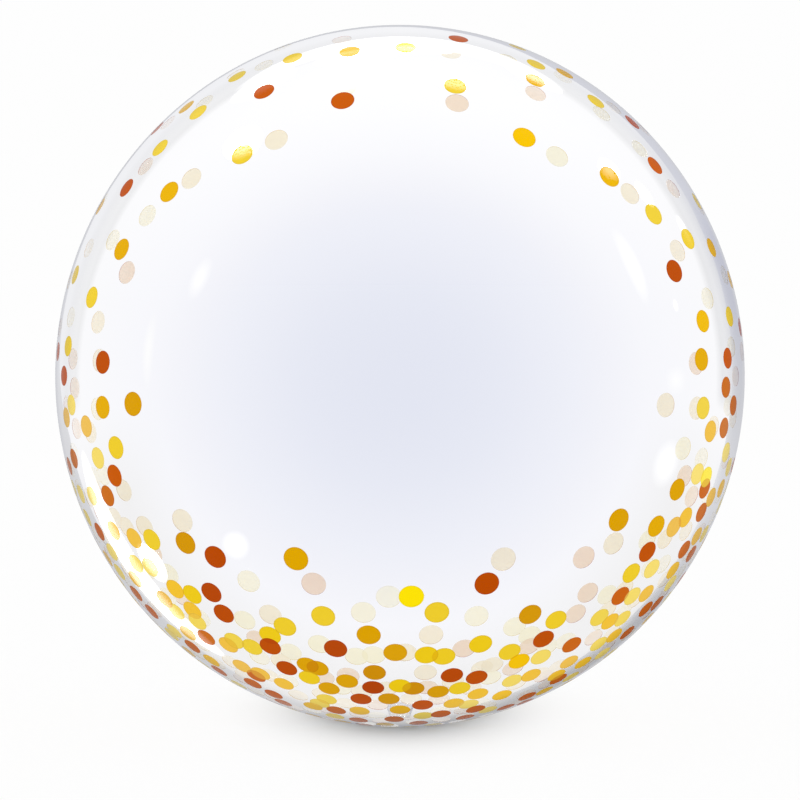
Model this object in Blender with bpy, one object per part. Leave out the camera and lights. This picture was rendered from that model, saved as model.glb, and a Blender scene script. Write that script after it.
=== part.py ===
# Clear bubble balloon, filled and sealed, resting on its underside.
# Metres, +Z up. The origin is the centre of the small flat that it rests on.
# The film, its neck and its sealed tail are one piece, so they are one body here.

import math

import bmesh
import bpy
from mathutils import Matrix, Vector

# The bubble
BUBBLE_WIDTH = 0.560  # across its widest ring
HEIGHT_TO_WIDTH = 1.0186  # the filled film stands a little taller than it is wide
REST_FLAT_RADIUS = 0.035  # the film spreads flat where it meets the floor
TURN_STEPS = 72  # facets round the vertical axis
MERIDIAN_STEPS = 40  # facets from pole to pole

# The filling neck, pressed flat and lying along the floor behind the rest flat
TAIL_REACH = 0.105  # from the vertical axis to the tail's end
TAIL_WIDTH = 0.024
NECK_WIDTH = 0.014  # at the vertical axis, where the film gathers
TAIL_THICKNESS = 0.0015
TAIL_LIFT = 0.0005  # clear of the floor, so that the flat alone carries the balloon
TAIL_CORNER_RADIUS = 0.007
TAIL_CORNER_STEPS = 5

# The film's looks
FILM_COLOUR = (0.93, 0.94, 0.97, 1.0)
FILM_ROUGHNESS = 0.06
FILM_ALPHA = 0.3
SMOOTH_ANGLE = math.radians(30)

HALF_WIDTH = BUBBLE_WIDTH / 2
HALF_HEIGHT = HALF_WIDTH * HEIGHT_TO_WIDTH
# Height of the bubble's centre over the floor, where a cut leaves a flat of the wanted radius.
CENTRE_HEIGHT = HALF_HEIGHT * math.sqrt(1 - (REST_FLAT_RADIUS / HALF_WIDTH) ** 2)


def clear_scene():
    for old in list(bpy.data.objects):
        bpy.data.objects.remove(old, do_unlink=True)


def clear_film():
    material = bpy.data.materials.new("clear_film")
    material.use_nodes = True
    shader = material.node_tree.nodes["Principled BSDF"]
    shader.inputs["Base Color"].default_value = FILM_COLOUR
    shader.inputs["Roughness"].default_value = FILM_ROUGHNESS
    shader.inputs["Metallic"].default_value = 0.0
    shader.inputs["Alpha"].default_value = FILM_ALPHA
    return material


def add_object(name, shape, material):
    bmesh.ops.recalc_face_normals(shape, faces=shape.faces)
    mesh = bpy.data.meshes.new(name)
    shape.to_mesh(mesh)
    shape.free()
    mesh.materials.append(material)
    mesh.shade_smooth()
    mesh.set_sharp_from_angle(angle=SMOOTH_ANGLE)
    added = bpy.data.objects.new(name, mesh)
    bpy.context.scene.collection.objects.link(added)
    return added


def add_bubble(material):
    # A spheroid, cut and capped level with the floor.
    shape = bmesh.new()
    bmesh.ops.create_uvsphere(shape, u_segments=TURN_STEPS, v_segments=MERIDIAN_STEPS, radius=1)
    bmesh.ops.scale(shape, verts=shape.verts, vec=(HALF_WIDTH, HALF_WIDTH, HALF_HEIGHT))
    bmesh.ops.translate(shape, verts=shape.verts, vec=(0, 0, CENTRE_HEIGHT))
    everything = shape.verts[:] + shape.edges[:] + shape.faces[:]
    cut = bmesh.ops.bisect_plane(
        shape, geom=everything, plane_co=(0, 0, 0), plane_no=(0, 0, -1), clear_outer=True
    )
    rim = [part for part in cut["geom_cut"] if isinstance(part, bmesh.types.BMEdge)]
    bmesh.ops.edgeloop_fill(shape, edges=rim)
    return add_object("bubble", shape, material)


def add_tail(material):
    # A flat strip along +Y that widens from the neck and has rounded corners at its free end.
    shape = bmesh.new()
    bmesh.ops.create_cube(shape, size=1)
    bmesh.ops.scale(shape, verts=shape.verts, vec=(TAIL_WIDTH, TAIL_REACH, TAIL_THICKNESS))
    middle = Vector((0, TAIL_REACH / 2, TAIL_LIFT + TAIL_THICKNESS / 2))
    bmesh.ops.translate(shape, verts=shape.verts, vec=middle)
    at_neck = [vert for vert in shape.verts if vert.co.y < TAIL_REACH / 2]
    bmesh.ops.transform(shape, verts=at_neck, matrix=Matrix.Scale(NECK_WIDTH / TAIL_WIDTH, 4, (1, 0, 0)))
    corners = []
    for edge in shape.edges:
        low, high = edge.verts
        upright = abs(low.co.z - high.co.z) > TAIL_THICKNESS / 2
        if upright and low.co.y > TAIL_REACH / 2:
            corners.append(edge)
    bmesh.ops.bevel(
        shape, geom=corners, offset=TAIL_CORNER_RADIUS, segments=TAIL_CORNER_STEPS,
        profile=0.5, affect="EDGES", material=-1
    )
    tail = add_object("tail_shape", shape, material)
    tail.hide_render = True
    tail.display_type = "WIRE"
    return tail


def fuse(body, addition):
    union = body.modifiers.new("fuse_" + addition.name, "BOOLEAN")
    union.operation = "UNION"
    union.solver = "EXACT"
    union.object = addition


clear_scene()
film = clear_film()
bubble = add_bubble(film)
fuse(bubble, add_tail(film))
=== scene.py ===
import bpy, bmesh, math, random
from mathutils import Matrix, Vector
from mathutils.kdtree import KDTree


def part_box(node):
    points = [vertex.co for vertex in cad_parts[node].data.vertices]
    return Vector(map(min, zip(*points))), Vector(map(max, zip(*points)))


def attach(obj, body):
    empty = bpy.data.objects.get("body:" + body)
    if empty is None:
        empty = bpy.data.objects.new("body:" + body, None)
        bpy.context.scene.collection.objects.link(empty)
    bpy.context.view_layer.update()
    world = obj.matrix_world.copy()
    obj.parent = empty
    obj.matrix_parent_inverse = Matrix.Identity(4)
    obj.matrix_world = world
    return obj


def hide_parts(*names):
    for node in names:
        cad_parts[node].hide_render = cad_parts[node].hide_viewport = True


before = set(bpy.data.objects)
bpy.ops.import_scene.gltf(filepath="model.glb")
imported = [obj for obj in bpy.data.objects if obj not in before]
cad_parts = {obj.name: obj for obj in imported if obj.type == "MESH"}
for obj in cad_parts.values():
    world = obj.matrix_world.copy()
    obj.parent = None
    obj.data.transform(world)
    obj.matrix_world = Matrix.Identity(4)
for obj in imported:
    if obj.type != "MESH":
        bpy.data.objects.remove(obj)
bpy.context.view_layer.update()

scene = bpy.context.scene
scene.view_settings.view_transform = "Standard"
scene.view_settings.look = "None"


class Link:
    # one socket, so that a sum written on links adds its Math nodes
    def __init__(self, nodes, socket):
        self.nodes, self.socket = nodes, socket

    def maths(self, operation, first, second, clamp=False):
        settings = {"operation": operation, "use_clamp": clamp}
        return self.nodes.add("ShaderNodeMath", settings, [first, second])

    def __add__(self, other):
        return self.maths("ADD", self, other)

    def __sub__(self, other):
        return self.maths("SUBTRACT", self, other)

    def __rsub__(self, other):
        return self.maths("SUBTRACT", other, self)

    def __mul__(self, other):
        return self.maths("MULTIPLY", self, other)

    def __truediv__(self, other):
        return self.maths("DIVIDE", self, other)

    def within(self):  # held between 0 and 1
        return self.maths("ADD", self, 0, True)

    def orMore(self, other):
        return self.maths("MAXIMUM", self, other)

    def past(self, edge, softness):
        # 0 below the edge and 1 above it, over a soft stretch that starts there
        return ((self - edge) / softness).within()

    def dot(self, vector):
        return self.nodes.add(
            "ShaderNodeVectorMath", {"operation": "DOT_PRODUCT"}, [self, vector], 1)

    def times(self, vector):
        return self.nodes.add("ShaderNodeVectorMath", {"operation": "MULTIPLY"}, [self, vector])

    def length(self):
        return self.nodes.add("ShaderNodeVectorMath", {"operation": "LENGTH"}, [self], 1)

    def part(self, number):
        return self.nodes.add("ShaderNodeSeparateXYZ", {}, [self], number)

    def ramp(self, stops):
        return self.nodes.add("ShaderNodeValToRGB", {"stops": stops}, [self])

    def blend(self, first, second, kind="MIX"):
        # first where this link is 0 and second where it is 1: inputs 0, 6 and 7 of a Mix node
        # are its factor and its two colours
        settings = {"data_type": "RGBA", "blend_type": kind}
        return self.nodes.add("ShaderNodeMix", settings, {0: self, 6: first, 7: second}, 2)


class Nodes:
    # the nodes of one material or of the world
    def __init__(self, owner):
        owner.use_nodes = True
        self.tree = owner.node_tree
        self.tree.nodes.clear()

    def add(self, kind, settings, values=(), output=0):
        node = self.tree.nodes.new(kind)
        for name, value in settings.items():
            if name == "stops":
                self.setStops(node.color_ramp, value)
            else:
                setattr(node, name, value)
        for name, value in values.items() if isinstance(values, dict) else enumerate(values):
            if isinstance(value, Link):
                self.tree.links.new(value.socket, node.inputs[name])
            else:
                node.inputs[name].default_value = value
        return Link(self, node.outputs[output])

    def setStops(self, ramp, stops):
        while len(ramp.elements) < len(stops):
            ramp.elements.new(1)
        for element, (place, colour) in zip(ramp.elements, stops):
            element.position, element.color = place, colour

    def finish(self, surface, kind="ShaderNodeOutputMaterial"):
        output = self.tree.nodes.new(kind)
        self.tree.links.new(surface.socket, output.inputs["Surface"])


def screen(red, green, blue):
    # the light of a colour given as it shows on a screen, from 0 to 255
    return tuple(
        v / 255 / 12.92 if v <= 10 else ((v / 255 + 0.055) / 1.055) ** 2.4
        for v in (red, green, blue)) + (1,)


def grey(value):
    return (value, value, value, 1)


# The bubble's true shape, from the solid that it replaces
bubble = {
    "restRadius": 0.035,  # it lies flat on the floor inside this ring
    "wall": 0.0003,
    "facesAlongEdge": 80,  # of the cube that is blown up into the bubble
}
low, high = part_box("bubble")
halfWidth = (high.x - low.x) / 2
cutShare = math.sqrt(1 - (bubble["restRadius"] / halfWidth) ** 2)
halfHeight = (high.z - low.z) / (1 + cutShare)
centre = Vector((0, 0, high.z - halfHeight))
print("bubble", round(halfWidth, 4), round(halfHeight, 4), round(centre.z, 4))


def onBubble(direction):
    # the point of the film that lies that way from the centre
    point = centre + Vector((
        direction.x * halfWidth, direction.y * halfWidth, direction.z * halfHeight))
    point.z = max(point.z, 0)
    return point


def fromCentre(point):
    # the direction that onBubble takes to that point
    away = point - centre
    away.z *= halfWidth / halfHeight
    return away.normalized()


cameraTilt = math.radians(7)  # the camera looks this far down, and the print leans back with it

# The balloon is blown up from two round printed sheets, front and back, joined at their rims.
# The film stretches evenly from the middle of a sheet outwards. So a printed dot is a circle on
# the flat sheet, and on the blown-up one it is narrower along the rim, the nearer it lies to it.
dots = {
    "radius": 0.0113,
    "stretch": (0.995, 1.006),  # of the front and of the back sheet's print
    "layers": ("dotOne", "dotTwo", "dotThree", "dotFour"),
    "seed": 22,
    "edge": 0.03,  # of a dot's radius, over which its ink ends
    "border": (0.86, 0.1),  # where its darker border begins and how softly, of its radius
    "borderShade": 0.87,
    "borderInside": 0.965,  # the same, as it shows from inside
    "showsUnder": 0.45,  # how much of a dot comes through another one printed over it
    "slack": 1.05,  # faces this much further out than a dot's radius still look for it
    "nowhere": (9, 9, 0),  # for a face with fewer dots near: many radii away
    # The rise of a dot's tone with its height is painted light: higher dots are lighter. The rest of
    # the tone is the ink's own, partly by chance
    "tones": (0.28, 0.15, 0.12),  # in the middle, more of it one radius up, and by chance
    "toneEnds": (0.03, 0.97),
    "toneStops": (0.01, 0.5, 0.99),  # where an ink's three tones lie in its stretch of the ramp
    # Low down, aside of the middle line, the dots get a painted sheen: their tone moves towards
    # the ink's paler one, as where low side lights wash the ink. Given in the bubble's radii out
    # from a sheet's middle
    "paintedSheenFrom": 1.05,
    "paintedSheenLater": 0.18,  # so much further out on a middle line
    "paintedSheenLine": (-0.08, 0.4),  # where that line lies, and how far aside of it that holds
    "paintedSheenStretch": 0.08,  # over which it sets in
    "milkyTone": 0.6,  # what it adds to a tone
    # more dots low down at the rim, in degrees round the sheet and out from its middle
    "crowdedRound": (196, 346),
    "crowdedOut": (80, 89),
    "crowdedTries": 260,
    "crowdedApart": 0.026,
}

# Each ink: its dark and light tone and the paler tone of its painted sheen, its dark and light
# tone as it shows from inside, and its share of the crowded dots
inks = {
    "copper": ((176, 64, 0), (202, 92, 2), (202, 114, 34), (239, 218, 190), (250, 227, 192), 0.2),
    "amber": ((204, 138, 0), (246, 196, 2), (236, 190, 96), (244, 237, 210), (250, 240, 208), 0.3),
    "yellow": (
        (238, 201, 4), (239, 209, 64), (253, 231, 138), (247, 244, 214), (251, 249, 236), 0.32),
    "lemon": ((252, 222, 2), (255, 232, 8), (253, 238, 120), (246, 245, 228), (250, 249, 236), 0.08),
}

# The other dots of one sheet: degrees round it, from its right and upwards, then degrees out
# from its middle. They were read from enlarged views of the photo, and 18 of them were then
# moved by their measured offsets from it. The other sheet has the same ones.
placedDots = {
    "copper": [
        (3, 72), (8, 85), (20.5, 58), (39, 72), (47, 81), (80, 77), (102, 53), (116, 64), (135, 85),
        (146, 73), (176, 84), (177.5, 59.5), (180, 77), (194, 77), (195, 83), (199, 61), (202, 66),
        (207, 78), (219, 80), (223, 80), (224, 48), (228.5, 55.5), (232, 78), (233, 58), (233, 69),
        (238, 82), (244, 59), (244, 72), (244, 77), (248.5, 63.5), (248, 78), (250, 82), (256.5, 53),
        (259, 76), (263, 68), (263, 81), (265, 63), (269, 78), (274, 70), (277, 76), (281, 82),
        (280, 60), (283, 77), (284.5, 62.5), (288, 83), (292, 80), (293, 40), (298, 78), (299, 59),
        (303, 66), (312, 80), (315.5, 63.5), (317, 77), (319, 81), (325, 61), (329, 74), (329, 80),
        (336, 73), (340, 70), (351, 72), (355, 76), (358, 71)],
    "amber": [
        (3, 61), (10, 63), (16, 85), (22, 77), (43, 56), (61, 80), (62, 50), (65, 68), (99, 69),
        (129, 80), (142, 58), (151, 84), (156, 62), (186, 51), (186, 60), (187, 77), (189, 67),
        (208, 70), (211, 64), (217.5, 51.5), (217, 74), (223, 63), (223, 69), (228, 64), (230, 73),
        (236, 78), (237, 66), (240, 37), (241, 71), (244.5, 70), (249, 70), (252, 60), (254, 60),
        (255, 77), (257, 66), (259, 76), (260, 62), (263, 48), (263, 74), (265, 58), (268, 67),
        (269, 52), (270, 72), (272.5, 63), (277, 65), (279.5, 71), (284, 69), (288, 73), (293, 62),
        (294, 69), (295, 82), (298, 75), (299, 51), (301, 72), (303, 77), (310, 75), (311, 68),
        (319, 71), (325, 75), (327, 49), (330, 59), (331.5, 64.5), (332, 77), (334, 67), (338, 60),
        (339, 75), (341, 80), (350, 66)],
    "yellow": [
        (10, 76), (25, 67), (30, 84), (32, 60), (54, 75), (66, 76), (70, 85), (79, 57), (109, 73),
        (119, 77), (126, 51), (128, 72), (137, 72), (163, 80), (166, 67), (175, 75), (185, 73),
        (194, 58), (195, 65), (200, 80), (204, 83), (201, 73), (211, 77), (213, 59), (215, 69),
        (217, 65), (226, 60), (226, 69), (228, 78), (228, 82), (230, 66), (237.5, 63.5),
        (241, 62), (243, 56), (245, 52), (252, 46), (253, 64), (256, 74), (257, 71), (259, 81),
        (270, 62), (274, 76), (275.5, 53), (279, 43), (279, 54), (281, 65), (282, 73), (285, 80),
        (287, 53), (290.5, 68), (292, 58), (297, 64), (300, 82), (303, 56), (307, 73), (310, 64),
        (313, 71), (317, 67), (320, 61), (323, 66), (323, 79), (333, 82), (342, 65), (347, 76),
        (354, 62)],
    "lemon": [(89, 69), (273, 39), (342, 69)],
}

# What the back sheet has besides: degrees round and out, and the ink and tone in one number
backDots = [(307, 47, 0.6)]


class Sheet:
    # one of the two printed sheets, laid on its half of the bubble
    def __init__(self, bearing, stretch):
        self.stretch = stretch
        self.turn = Matrix.Rotation(-cameraTilt, 3, "X") @ Matrix.Rotation(bearing, 3, "Z")

    def flat(self, point):
        # where a point of the film lies on the flat sheet: right and up of its middle, in metres
        straight = self.turn.transposed() @ fromCentre(point)
        aside = Vector((straight.x, straight.z))
        angle = math.atan2(aside.length, -straight.y)
        return aside.normalized() * angle * halfWidth / self.stretch

    def blown(self, place):
        # the point of the film at that place of the flat sheet
        angle = place.length / halfWidth * self.stretch
        aside = place.normalized() * math.sin(angle)
        return onBubble(self.turn @ Vector((aside.x, -math.cos(angle), aside.y)))


front, back = dots["stretch"]
sheets = (Sheet(0, front), Sheet(math.pi, back))


def onSheet(around, out):
    # a place of the flat sheet, given in degrees round it and out from its middle
    around = math.radians(around)
    return Vector((math.cos(around), math.sin(around))) * math.radians(out) * halfWidth


def between(value, least, most):
    return min(max(value, least), most)


def paintedSheen(place):
    # the painted sheen that a dot at that place of the flat sheet gets added to its tone
    if place.y >= 0:
        return 0
    line, reach = dots["paintedSheenLine"]
    aside = min(abs(place.x / halfWidth - line) / reach, 1)
    start = dots["paintedSheenFrom"] + dots["paintedSheenLater"] * (1 - aside * aside)
    share = (place.length / halfWidth - start) / dots["paintedSheenStretch"]
    return dots["milkyTone"] * between(share, 0, 1)


def layDots():
    # (place on the flat sheet, ink and tone) of every dot, in the order of printing
    laid = []
    chance = random.Random(dots["seed"])

    def lay(around, out, ink, apart):
        place = onSheet(around, out)
        if all((place - other).length > apart for other, tone in laid):
            usual, rise, spread = dots["tones"]
            # painted light: the tone rises with height, so higher dots are lighter; the spread is by
            # chance
            tone = usual + rise * place.y / halfWidth + chance.uniform(-spread, spread)
            # painted sheen: low dots aside of straight down get their tone moved towards the paler
            # one
            tone = between(tone + paintedSheen(place), *dots["toneEnds"])
            laid.append((place, (ink + tone) / len(inks)))

    for ink, places in enumerate(placedDots.values()):
        for around, out in places:
            lay(around, out, ink, 0)
    shares = [ink[-1] for ink in inks.values()]
    for attempt in range(dots["crowdedTries"]):
        around, out = chance.uniform(*dots["crowdedRound"]), chance.uniform(*dots["crowdedOut"])
        lay(around, out, chance.choices(range(len(inks)), shares)[0], dots["crowdedApart"])
    chance.shuffle(laid)
    return laid


def markDots(shape):
    # Every face keeps, for the few dots that can reach it, where it lies in them: across and
    # up in dot radii, and the ink. So a dot's edge is a true curve on any mesh.
    laid = [(sheet, place, ink) for place, ink in layDots() for sheet in sheets]
    laid += [(sheets[1], onSheet(around, out), ink) for around, out, ink in backDots]
    tree = KDTree(len(laid))
    for number, (sheet, place, ink) in enumerate(laid):
        tree.insert(sheet.blown(place), number)
    tree.balance()
    layers = [shape.loops.layers.float_vector.new(name) for name in dots["layers"]]
    crowded = 0
    for face in shape.faces:
        middle = face.calc_center_median()
        reach = dots["radius"] * dots["slack"] + max((v.co - middle).length for v in face.verts)
        near = sorted(tree.find_range(middle, reach), key=lambda found: found[2])
        crowded += len(near) > len(layers)
        near = sorted(found[1] for found in near[:len(layers)])
        for place, layer in enumerate(layers):
            if place >= len(near):
                for loop in face.loops:
                    loop[layer] = dots["nowhere"]
                continue
            sheet, dot, ink = laid[near[place]]
            for loop in face.loops:
                off = (sheet.flat(loop.vert.co) - dot) / dots["radius"]
                loop[layer] = (off.x, off.y, ink)
    print("dots", len(laid), "faces with too many", crowded)


def printNodes(nodes, inside):
    # the print's colour as it shows from inside or outside, and 1 where there is print
    colour, covered = None, None
    shares = dots["toneStops"][::2] if inside else dots["toneStops"]
    firstTone = 3 if inside else 0
    stops = []
    for number, ink in enumerate(inks.values()):
        for share, tone in zip(shares, ink[firstTone:]):
            stops.append(((number + share) / len(inks), screen(*tone)))
    shade = grey(dots["borderInside"] if inside else dots["borderShade"])
    for name in dots["layers"]:
        place = nodes.add("ShaderNodeAttribute", {"attribute_name": name}, (), 1)
        out = place.times((1, 1, 0)).length()
        within = ((1 - out) / dots["edge"]).within()
        border = out.past(*dots["border"])
        ink = border.blend(place.part(2).ramp(stops), shade, "MULTIPLY")
        if colour is None:
            colour, covered = ink, within
            continue
        under = (covered * dots["showsUnder"]).blend(grey(1), colour)
        over = nodes.add(
            "ShaderNodeMix", {"data_type": "RGBA", "blend_type": "MULTIPLY"},
            {0: 1.0, 6: ink, 7: under}, 2)
        colour = within.blend(colour, over)
        covered = covered.orMore(within)
    return colour, covered


film = {
    "clear": (0.995, 0.995, 1, 1),
    # the share of the light that the film mirrors, from straight on to along it
    "shine": [
        (0, 0.225), (0.62, 0.23), (0.68, 0.25), (0.72, 0.36), (0.745, 0.46), (0.77, 0.52),
        (0.8, 0.56), (1, 0.62)],
    "roughness": 0.02,
    # the share that an inked dot mirrors, and how well its ink covers
    "inkShine": [
        (0, 0.002), (0.3, 0.002), (0.38, 0.006), (0.5, 0.007), (0.6, 0.012), (0.66, 0.03),
        (0.72, 0.05), (0.78, 0.1), (0.86, 0.22), (1, 0.45)],
    "inkCover": [(0, 1), (0.8, 1), (0.88, 0.9), (1, 0.6)],
    # painted shade: the ink's colour darkens where the film runs along the line of sight, for the
    # dark rim that it mirrors
    "paintedRimShade": [(0, 1), (0.68, 1), (0.76, 0.85), (0.84, 0.76), (1, 0.72)],  # darker along the film
    "inkRoughness": 0.6,
    # how pale a dot's colour from inside turns along the line of sight, which is painted light,
    # towards which tone, and how well it covers
    "backPale": [(0, 0), (0.4, 0.05), (0.56, 0.35), (0.65, 0.6), (0.8, 0.75), (1, 0.8)],
    "palest": 0.98,
    "backCover": 0.92,
    "backRoughness": 0.5,
}


def facingLink(nodes):
    # 0 where the film faces the eye and 1 where it runs along the line of sight
    return nodes.add("ShaderNodeLayerWeight", {}, {"Blend": 0.5}, 1)


def outsideLink(nodes):
    # 1 on the side that a face's normal points to
    return 1 - nodes.add("ShaderNodeNewGeometry", {}, (), 6)


def greyStops(places):
    return [(place, grey(share)) for place, share in places]


def filmMaterial():
    material = bpy.data.materials.new("printedFilm")
    nodes = Nodes(material)
    colour, covered = printNodes(nodes, False)
    facing = facingLink(nodes)
    shine = facing.ramp(greyStops(film["shine"]))
    clear = nodes.add("ShaderNodeBsdfTransparent", {}, {"Color": film["clear"]})
    gloss = nodes.add(
        "ShaderNodeBsdfAnisotropic", {}, {"Color": grey(1), "Roughness": film["roughness"]})
    body = nodes.add("ShaderNodeMixShader", {}, [shine * outsideLink(nodes), clear, gloss])
    # painted shade: the ink's colour darkens towards the rim, where the film runs along the line of
    # sight
    paintedRimShade = facing.ramp(greyStops(film["paintedRimShade"]))
    shaded = paintedRimShade.blend(grey(0), colour)
    paint = nodes.add("ShaderNodeBsdfPrincipled", {}, {
        "Base Color": shaded, "Roughness": film["inkRoughness"], "Specular IOR Level": 0.0})
    inkShine = facing.ramp(greyStops(film["inkShine"]))
    ink = nodes.add("ShaderNodeMixShader", {}, [inkShine, paint, gloss])
    inkCover = facing.ramp(greyStops(film["inkCover"]))
    nodes.finish(nodes.add("ShaderNodeMixShader", {}, [covered * inkCover, body, ink]))
    return material


def liningMaterial():
    material = bpy.data.materials.new("filmLining")
    nodes = Nodes(material)
    colour, covered = printNodes(nodes, True)
    facing = facingLink(nodes)
    # painted light: the inside colour turns towards a near white where the film runs along the line
    # of sight
    pale = facing.ramp(greyStops(film["backPale"]))
    clear = nodes.add("ShaderNodeBsdfTransparent", {}, {"Color": grey(1)})
    ink = nodes.add("ShaderNodeBsdfPrincipled", {}, {
        "Base Color": pale.blend(colour, grey(film["palest"])), "Roughness": film["backRoughness"],
        "Specular IOR Level": 0.0})
    cover = covered * outsideLink(nodes) * film["backCover"]
    nodes.finish(nodes.add("ShaderNodeMixShader", {}, [cover, clear, ink]))
    return material


def makeFilm():
    shape = bmesh.new()
    bmesh.ops.create_cube(shape, size=2)
    bmesh.ops.subdivide_edges(
        shape, edges=shape.edges[:], cuts=bubble["facesAlongEdge"] - 1, use_grid_fill=True)
    for vert in shape.verts:
        even = Vector(math.tan(v * math.pi / 4) for v in vert.co)
        vert.co = onBubble(even.normalized())
    shape.normal_update()
    markDots(shape)
    outer = shape.verts[:] + shape.edges[:] + shape.faces[:]
    copied = bmesh.ops.duplicate(shape, geom=outer)["geom"]
    shape.normal_update()
    inner = [part for part in copied if isinstance(part, bmesh.types.BMFace)]
    for vert in (part for part in copied if isinstance(part, bmesh.types.BMVert)):
        vert.co -= vert.normal * bubble["wall"]
    for face in inner:
        face.material_index = 1
    bmesh.ops.reverse_faces(shape, faces=inner)
    mesh = bpy.data.meshes.new("bubbleFilm")
    shape.to_mesh(mesh)
    shape.free()
    mesh.materials.append(filmMaterial())
    mesh.materials.append(liningMaterial())
    mesh.shade_smooth()
    piece = bpy.data.objects.new("bubbleFilm", mesh)
    scene.collection.objects.link(piece)
    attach(piece, "root")
    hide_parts("bubble")
    print("film made", len(mesh.polygons))


makeFilm()


# The sealed filling tail, a flat double strip that lies behind the rest flat
tail = {
    "reach": 0.105,
    "width": 0.024,
    "neckWidth": 0.014,
    "thickness": 0.0008,
    "start": 0.02,  # hidden under the film from here
    "lift": 0.0007,
    "least": 0.0005,  # nothing lies closer to the floor than this
    "wave": 0.0004,
    "wavesAlong": (260, 90),  # radians for each metre, of the straight and of the slanted wave
    "waveShares": (0.6, 0.4),
    "waveSlant": 9,
    "calm": (8, 0.4),  # the wave grows that fast away from the end, where so much of it is left
    "cornerReach": 0.006,  # over which the end rounds off
    "cornerShare": 0.4,  # of the width that the rounding takes away
    "sealLines": (0.072, 0.078, 0.084),  # from the bubble's middle, pressed in across the strip
    "sealDepth": 0.00025,
    "sealHalfWidth": 0.0006,
    "tint": (0.95, 0.955, 0.96, 1),
    "roughness": 0.12,
    "stepsAlong": 60,
    "stepsAcross": 10,
}


def tailWidth(along):
    share = along / tail["reach"]
    width = tail["neckWidth"] + (tail["width"] - tail["neckWidth"]) * share
    corner = max(0, 1 - (tail["reach"] - along) / tail["cornerReach"])
    return width * (1 - tail["cornerShare"] * (1 - math.sqrt(max(0, 1 - corner * corner))))


def tailLift(along, aside):
    # how high the strip lies, aside from -0.5 to 0.5 across it
    straight, slanted = tail["wavesAlong"]
    first, second = tail["waveShares"]
    wave = math.sin(along * straight) * first
    wave += math.sin(aside * tail["waveSlant"] + along * slanted) * second
    rise, left = tail["calm"]
    calm = min(1, (1 - along / tail["reach"]) * rise + left)
    lift = tail["lift"] + tail["wave"] * (0.5 + 0.5 * wave) * calm
    for line in tail["sealLines"]:
        lift -= tail["sealDepth"] * math.exp(-((along - line) / tail["sealHalfWidth"]) ** 2)
    return max(lift, tail["least"])


def tailMaterial():
    material = bpy.data.materials.new("tailFilm")
    nodes = Nodes(material)
    clear = nodes.add("ShaderNodeBsdfTransparent", {}, {"Color": tail["tint"]})
    gloss = nodes.add(
        "ShaderNodeBsdfAnisotropic", {}, {"Color": grey(1), "Roughness": tail["roughness"]})
    shine = facingLink(nodes).ramp(greyStops(film["shine"]))
    nodes.finish(nodes.add("ShaderNodeMixShader", {}, [shine, clear, gloss]))
    return material


def makeTail():
    shape = bmesh.new()
    bmesh.ops.create_grid(
        shape, x_segments=tail["stepsAcross"], y_segments=tail["stepsAlong"], size=0.5)
    for vert in shape.verts:
        along = tail["start"] + (vert.co.y + 0.5) * (tail["reach"] - tail["start"])
        aside = vert.co.x * tailWidth(along)
        vert.co = Vector((aside, along, tailLift(along, vert.co.x)))
    skin = shape.faces[:]
    bmesh.ops.recalc_face_normals(shape, faces=skin)
    bmesh.ops.solidify(shape, geom=skin, thickness=-tail["thickness"])
    bmesh.ops.recalc_face_normals(shape, faces=shape.faces)
    mesh = bpy.data.meshes.new("sealedTail")
    shape.to_mesh(mesh)
    shape.free()
    mesh.materials.append(tailMaterial())
    mesh.shade_smooth()
    piece = bpy.data.objects.new("sealedTail", mesh)
    scene.collection.objects.link(piece)
    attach(piece, "root")
    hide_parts("bubble")
    heights = [vert.co.z for vert in mesh.vertices]
    print("tail made", round(min(heights), 4), round(max(heights), 4))


makeTail()


studio = {
    "distance": 28,
    "aimBelow": 0.0195,  # the camera aims this far below the bubble's centre
    "filmWidth": 36,
    "bubbleShare": 0.862,  # of the view's width that the bubble fills
    "farthest": 100,  # that the camera sees
    "floorRadius": 3,
    "floorSteps": 96,
    "floorDrop": 0.0005,  # under the balloon, so that the two don't touch
    "backdrop": 0.99,
    "skyLight": 1.12,  # from straight above, on what doesn't mirror
    "sideLight": 1,  # and from the horizon
    "floorShadow": 0.06,  # how much of the floor's light can be shaded
    "contactShade": (0.068, 0.148, 1.26),  # how far it reaches across and along, and its depth
    "shadeMiddle": 0.08,  # how far back it is deepest
    "shadeEnd": (-0.03, 0.05),  # from how far back it fades out, and over what stretch
    "shadeBend": 15.3,  # that starts later aside, by this times the square of how far aside
}
toCamera = Vector((0, -math.cos(cameraTilt), math.sin(cameraTilt)))
cameraUp = Vector((0, math.sin(cameraTilt), math.cos(cameraTilt)))
cameraRight = Vector((1, 0, 0))


def makeCamera():
    camera = bpy.data.cameras.new("camera")
    seenShare = halfWidth / math.sqrt(studio["distance"] ** 2 - halfWidth ** 2)
    camera.sensor_width = studio["filmWidth"]
    camera.lens = studio["bubbleShare"] * studio["filmWidth"] / 2 / seenShare
    camera.clip_end = studio["farthest"]
    holder = bpy.data.objects.new("camera", camera)
    holder.location = centre + toCamera * studio["distance"] - cameraUp * studio["aimBelow"]
    holder.rotation_euler = toCamera.to_track_quat("Z", "Y").to_euler()
    scene.collection.objects.link(holder)
    scene.camera = holder


def offAxis(axis, right, up):
    # a direction that many degrees to the right of the axis and above it
    right, up = math.tan(math.radians(right)), math.tan(math.radians(up))
    return (axis + cameraRight * right + cameraUp * up).normalized()


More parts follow.
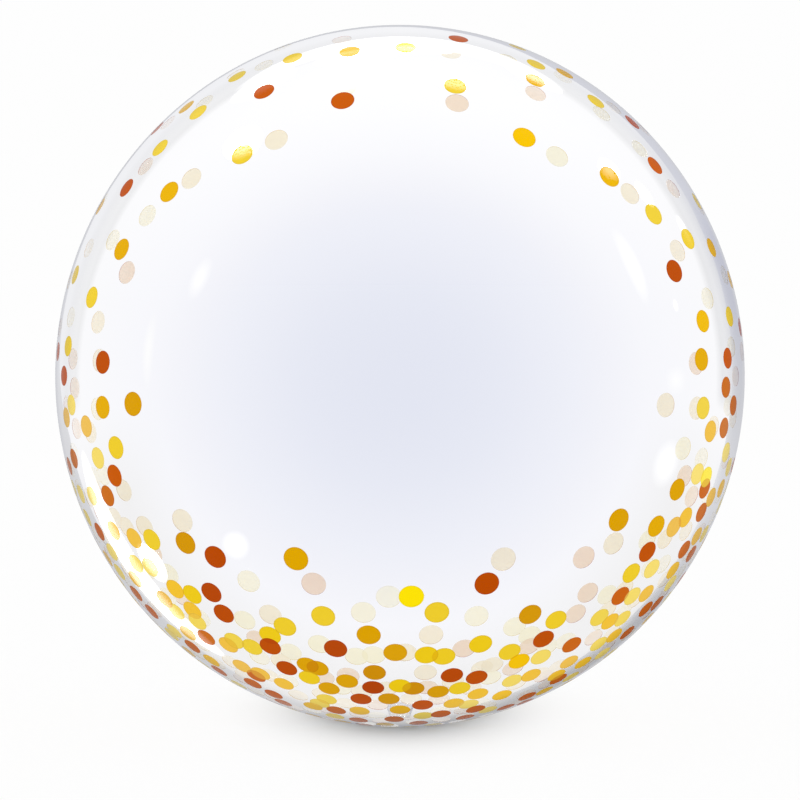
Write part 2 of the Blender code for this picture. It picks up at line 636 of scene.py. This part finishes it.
# What the film mirrors. Before the balloon is the dim blue room round the camera, which turns
# white towards the sides and overhead. Behind it are a pale wall and, in front of that, a dark one.
room = {
    "front": [
        (0, (0.04, 0.14, 0.54, 1)), (0.09, (0.18, 0.27, 0.63, 1)), (0.16, (0.31, 0.38, 0.7, 1)),
        (0.25, (0.44, 0.5, 0.78, 1)), (0.37, (0.6, 0.62, 0.83, 1)), (0.5, (0.75, 0.76, 0.91, 1)),
        (0.6, (0.8, 0.81, 0.94, 1)), (0.85, (0.88, 0.88, 0.93, 1))],
    "frontBelow": 5,  # degrees that its dimmest place lies under the camera
    "frontHigh": 0.06,  # how much sooner it turns white overhead and underfoot
    "overhead": (1.2, 1.2, 1.2, 1),
    "overheadHigh": (0.2, 1),  # where that starts and over what stretch, upwards and backwards
    "overheadBack": (0.3, 0.5),
    "floorward": (0.51, 0.49, 0.47, 1),  # low down behind the balloon
    "floorwardLow": (0.1, 0.25),
    "floorwardBack": (0, 0.5),
    "floorwardShare": 0.85,
    # the walls' discs: degrees right of and above straight behind, the radius, and how soft the
    # edge is, as a cosine
    "paleDiscs": [(0, 0, 38, 0.01), (-5, 4, 39.82, 0.05), (7, 1, 40.71, 0.06)],
    "paleFoot": (-0.07, 0.03),  # no pale wall lower than that
    "paleFade": (0.535, 0.385),  # its outer part is dimmer
    "darkDiscs": [(1.5, -1, 28.7, 0.004), (6, -7, 25.2, 0.004), (5, -4, 27, 0.004)],
    # two slanted edges that cut the dark wall off: right and up, and degrees from the middle
    "darkCuts": [(-0.56, 0.83, 10.5), (0.5, 0.87, 23.5)],
    "cutSoftness": 0.01,
    "wallMiddle": (0.38, 0.39, 0.44, 1),  # the dark wall right behind the balloon
    "wallMiddleEdge": (0.961, 0.034),
    "wallWarmth": 0.15,  # how much red a wall loses for its blueness
    # the two walls' brightness and blueness round the view, in degrees from the left end of
    # its middle line, under and past the right end
    "paleWall": [
        (0, 0.77, 0.04), (30, 0.7, 0.04), (200, 0.46, 0.09), (212, 0.58, 0.08), (225, 0.73, 0.06),
        (245, 0.81, 0.04), (270, 0.87, 0.03), (300, 0.81, 0.04), (330, 0.8, 0.04),
        (360, 0.77, 0.04)],
    "darkWall": [
        (0, 0.55, 0.04), (25, 0.38, 0.04), (55, 0.34, 0.03), (70, 0.47, 0.02), (92, 0.5, 0.01),
        (105, 0.25, 0.01), (115, 0.04, 0.02), (138, 0.05, 0.03), (150, 0.35, 0.05),
        (162, 0.47, 0.06), (175, 0.33, 0.06), (190, 0.24, 0.12), (200, 0.22, 0.14),
        (212, 0.38, 0.11), (290, 0.44, 0.07), (360, 0.55, 0.05)],
}

# Soft lights in the room, as the film mirrors them: degrees round from the right and off the
# camera's side, half the size round and off, the brightness, and how soft the edge is
lights = {
    "leftBox": (155, 79.6, 6, 4, 1.15, 0.8),
    "rightBox": (24.6, 95.6, 9.5, 4.2, 1.25, 0.6),
    "rightSpot": (13.7, 110.5, 1.3, 1.6, 1.6, 0.6),
    "rightMiddle": (359, 106, 3, 6, 1.1, 1),
    "leftEdge": (174.5, 94, 9, 3, 1.0, 0.8),
    "lowRight": (342.2, 108, 5, 7.5, 1.5, 0.9),
    "lowMiddle": (225, 84.7, 3.9, 6.3, 1.5, 0.6),
    "lowLeftWide": (215, 142, 14, 8, 14, 0.5),
    "lowLeft": (216, 126, 3.5, 6.5, 60, 0.7),
    "overLeft": (125, 106, 4.5, 8, 110, 0.8),
    "overLeftFar": (116, 133, 5, 7, 9, 1),
    "overMiddle": (101, 118, 9, 11, 3, 0.6),
    "overMiddleFar": (89, 137, 6, 5, 30, 0.6),
    "overRight": (79, 115, 4.6, 4.8, 50, 0.8),
    "overRightFar": (65, 137, 4, 5, 30, 1),
    "overFar": (98, 133, 6, 6, 12, 0.3),
    "overSide": (43.5, 114, 2.6, 5, 40, 0.8),
    "overSideLow": (35.5, 122, 2.6, 3, 80, 0.7),
    "overSideFar": (26, 134, 2.5, 3, 4, 1),
    "topStrip": (90, 143, 20, 6.5, 6, 0.7),
}


def wallStops(places):
    return [
        (turn / 360, (light - blue * room["wallWarmth"], light, light + blue, 1))
        for turn, light, blue in places]


def lightMask(way, around, off, halfAround, halfOff, softness):
    around, off = math.radians(around), math.radians(off)
    aside = cameraRight * math.cos(around) + cameraUp * math.sin(around)
    beside = cameraUp * math.cos(around) - cameraRight * math.sin(around)
    middle = toCamera * math.cos(off) + aside * math.sin(off)
    outward = aside * math.cos(off) - toCamera * math.sin(off)
    size = (math.sin(math.radians(halfOff)), math.sin(math.radians(halfAround)), 1)
    place = way.nodes.add("ShaderNodeMapping", {"vector_type": "TEXTURE"}, {
        "Vector": way, "Location": middle, "Scale": size,
        "Rotation": Matrix((outward, beside, middle)).transposed().to_euler()})
    return (1 - place.length()).past(0, softness)


def wallMask(way, discs):
    mask = None
    for right, up, radius, softness in discs:
        edge = math.cos(math.radians(radius))
        disc = way.dot(offAxis(-toCamera, right, up)).past(edge, softness)
        mask = mask.orMore(disc) if mask else disc
    return mask


def mirroredRoom(way):
    # the light that the film mirrors from that direction
    toBack, toRight, toTop = way.dot(-toCamera), way.dot(cameraRight), way.dot(cameraUp)

    away = way.dot(-offAxis(toCamera, 0, -room["frontBelow"]))
    around = toTop * toTop * room["frontHigh"] + away * 0.5 + 0.5
    overhead = toTop.past(*room["overheadHigh"]) * around.past(*room["overheadBack"])
    mirrored = overhead.blend(around.ramp(room["front"]), room["overhead"])
    floorward = (0 - toTop).past(*room["floorwardLow"]) * toBack.past(*room["floorwardBack"])
    mirrored = (floorward * room["floorwardShare"]).blend(mirrored, room["floorward"])

    turn = toTop.maths("ARCTAN2", toTop, toRight) / math.tau + 0.5
    pale = wallMask(way, room["paleDiscs"]) * toTop.past(*room["paleFoot"])
    lit = turn.ramp(wallStops(room["paleWall"]))
    mirrored = pale.blend(mirrored, toBack.past(*room["paleFade"]).blend(grey(0), lit))

    dark = wallMask(way, room["darkDiscs"])
    for right, up, degrees in room["darkCuts"]:
        corner = (cameraRight * right + cameraUp * up).normalized()
        beyond = way.dot(corner).past(math.sin(math.radians(degrees)), room["cutSoftness"])
        dark = dark * (1 - beyond)
    dim = turn.ramp(wallStops(room["darkWall"]))
    dim = toBack.past(*room["wallMiddleEdge"]).blend(dim, room["wallMiddle"])
    mirrored = dark.blend(mirrored, dim)

    for around, off, halfAround, halfOff, brightness, softness in lights.values():
        lit = lightMask(way, around, off, halfAround, halfOff, softness)
        mirrored = lit.blend(mirrored, grey(brightness))
    return mirrored


def makeWorld():
    world = bpy.data.worlds.new("studio")
    scene.world = world
    nodes = Nodes(world)
    way = nodes.add("ShaderNodeTexCoord", {}, (), 0)
    path = nodes.add("ShaderNodeLightPath", {}, (), 0)
    glossy = Link(nodes, path.socket.node.outputs["Is Glossy Ray"])
    seen = Link(nodes, path.socket.node.outputs["Is Camera Ray"])

    spread = studio["skyLight"] - studio["sideLight"]
    light = way.part(2) * spread + studio["sideLight"]
    colour = seen.blend(light, grey(studio["backdrop"]))
    colour = glossy.blend(colour, mirroredRoom(way))
    backdrop = nodes.add("ShaderNodeBackground", {}, {"Color": colour, "Strength": 1.0})
    nodes.finish(backdrop, "ShaderNodeOutputWorld")
    print("world made", len(world.node_tree.nodes))


def makeFloor():
    shape = bmesh.new()
    bmesh.ops.create_circle(
        shape, cap_ends=True, segments=studio["floorSteps"], radius=studio["floorRadius"])
    mesh = bpy.data.meshes.new("floor")
    shape.to_mesh(mesh)
    shape.free()
    floor = bpy.data.objects.new("floor", mesh)
    floor.location.z = -studio["floorDrop"]
    nodes = Nodes(bpy.data.materials.new("paleFloor"))
    acrossReach, alongReach, depth = studio["contactShade"]
    place = nodes.add("ShaderNodeTexCoord", {}, (), 3)
    across, along = place.part(0), place.part(1)
    aside, away = across / acrossReach, (along - studio["shadeMiddle"]) / alongReach
    apart = aside * aside + away * away
    shade = nodes.add("ShaderNodeMath", {"operation": "EXPONENT"}, [0 - apart]) * depth
    behind = along - across * across * studio["shadeBend"]
    shade = shade * (1 - behind.past(*studio["shadeEnd"]))
    average = studio["sideLight"] + (studio["skyLight"] - studio["sideLight"]) * 2 / 3
    lit = nodes.add("ShaderNodeBsdfDiffuse", {}, {"Color": grey(studio["backdrop"] / average)})
    glow = nodes.add("ShaderNodeEmission", {}, {
        "Color": shade.blend(grey(studio["backdrop"]), grey(0))})
    nodes.finish(nodes.add("ShaderNodeMixShader", {}, [studio["floorShadow"], glow, lit]))
    mesh.materials.append(bpy.data.materials["paleFloor"])
    floor.visible_glossy = False
    scene.collection.objects.link(floor)


makeCamera()
makeWorld()
makeFloor()
